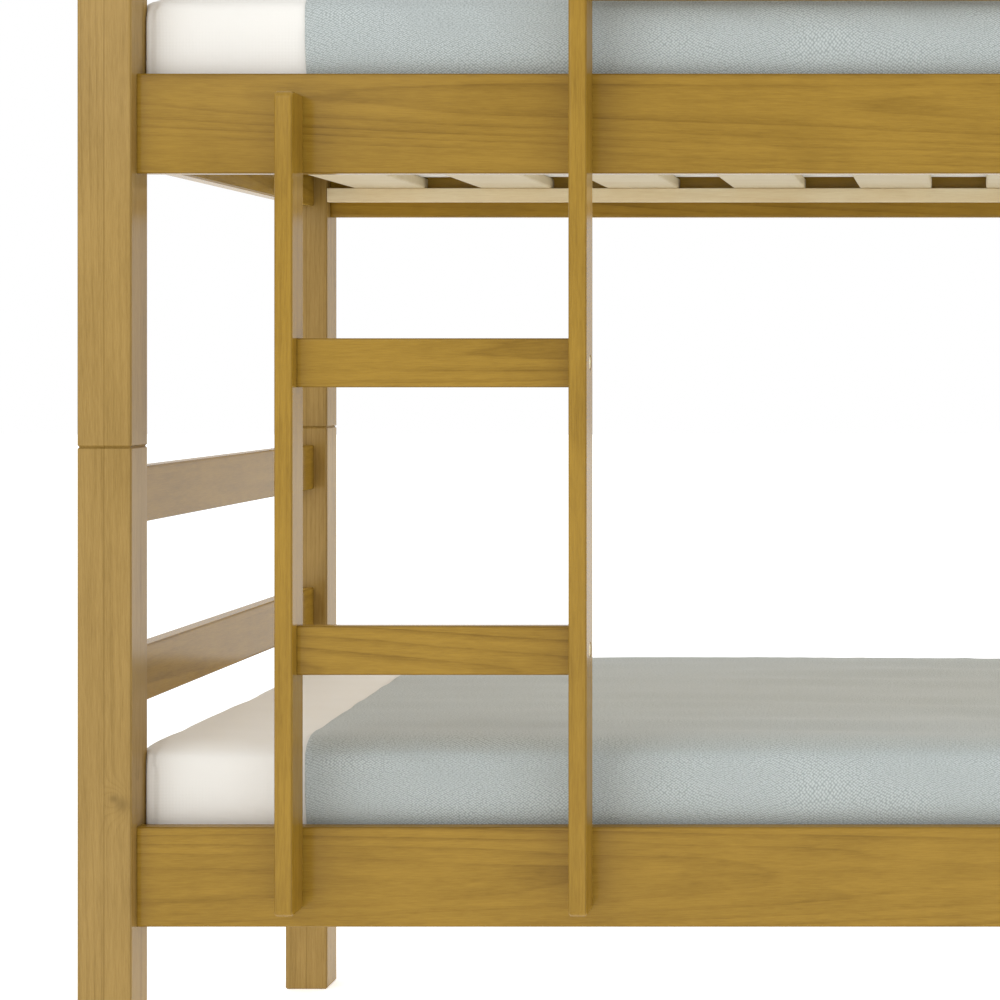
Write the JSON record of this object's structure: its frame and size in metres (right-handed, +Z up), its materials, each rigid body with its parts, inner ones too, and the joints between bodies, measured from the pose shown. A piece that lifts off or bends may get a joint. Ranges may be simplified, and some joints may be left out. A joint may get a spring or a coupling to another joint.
{
  "type": "bunk bed",
  "caption": "Two-tier single bunk bed in pine: slatted bedsteads on pinned square posts, a fixed front ladder, guard rails above, mattresses with coverlets.",
  "frame": {"origin": "on the floor, under the middle of the whole object's box", "axes": "+X along the bed with the ladder towards -X, -Y towards the ladder side, +Z up"},
  "size_m": [1.968, 0.995, 1.644],
  "materials": {
    "stained_pine": "satin lacquer",
    "raw_pine": "planed, unlacquered",
    "beech_dowel": "raw",
    "steel": "zinc plated",
    "cap_plastic": "matte",
    "sheet_fabric": "plain cotton",
    "coverlet_fabric": "fine ribbed weave"
  },
  "bodies": {
    "lower_bunk": {"lower_barrel_nuts": "steel", "lower_dowels": "beech_dowel", "lower_ledger_dowels": "beech_dowel", "lower_ledger_front": "raw_pine", "lower_ledger_rear": "raw_pine", "lower_left_end_rail": "stained_pine", "lower_left_high_bar": "stained_pine", "lower_left_low_bar": "stained_pine", "lower_post_front_left": "stained_pine", "lower_post_front_right": "stained_pine", "lower_post_rear_left": "stained_pine", "lower_post_rear_right": "stained_pine", "lower_rail_bolts": "steel", "lower_right_end_rail": "stained_pine", "lower_right_high_bar": "stained_pine", "lower_right_low_bar": "stained_pine", "lower_side_rail_front": "stained_pine", "lower_side_rail_rear": "stained_pine", "lower_slat_screws": "steel", "lower_slats": "raw_pine", "post_pins": "steel"},
    "upper_bunk": {"guard_rail_dowels": "beech_dowel", "guard_rail_front_lower": "stained_pine", "guard_rail_front_upper": "stained_pine", "guard_rail_rear_lower": "stained_pine", "guard_rail_rear_upper": "stained_pine", "guard_rail_screws": "steel", "ladder_bolts": "steel", "ladder_rung_lower": "stained_pine", "ladder_rung_upper": "stained_pine", "ladder_stile_left": "stained_pine", "ladder_stile_right": "stained_pine", "rung_bolt_caps": "cap_plastic", "rung_bolts": "steel", "rung_dowels": "beech_dowel", "upper_barrel_nuts": "steel", "upper_dowels": "beech_dowel", "upper_ledger_dowels": "beech_dowel", "upper_ledger_front": "raw_pine", "upper_ledger_rear": "raw_pine", "upper_left_end_rail": "stained_pine", "upper_left_high_bar": "stained_pine", "upper_left_low_bar": "stained_pine", "upper_post_front_left": "stained_pine", "upper_post_front_right": "stained_pine", "upper_post_rear_left": "stained_pine", "upper_post_rear_right": "stained_pine", "upper_rail_bolts": "steel", "upper_right_end_rail": "stained_pine", "upper_right_high_bar": "stained_pine", "upper_right_low_bar": "stained_pine", "upper_side_rail_front": "stained_pine", "upper_side_rail_rear": "stained_pine", "upper_slat_screws": "steel", "upper_slats": "raw_pine"},
    "lower_mattress": {"lower_coverlet": "coverlet_fabric", "lower_mattress": "sheet_fabric"},
    "upper_mattress": {"upper_coverlet": "coverlet_fabric", "upper_mattress": "sheet_fabric"}
  },
  "joints": [
    {"name": "lift_upper_bunk", "type": "slide", "parent": "lower_bunk", "child": "upper_bunk", "axis": [0, 0, 1], "range_m": [0, 0.06]},
    {"name": "lift_lower_mattress", "type": "slide", "parent": "lower_bunk", "child": "lower_mattress", "axis": [0, 0, 1], "range_m": [0, 0.15]},
    {"name": "lift_upper_mattress", "type": "slide", "parent": "upper_bunk", "child": "upper_mattress", "axis": [0, 0, 1], "range_m": [0, 0.25]}
  ]
}
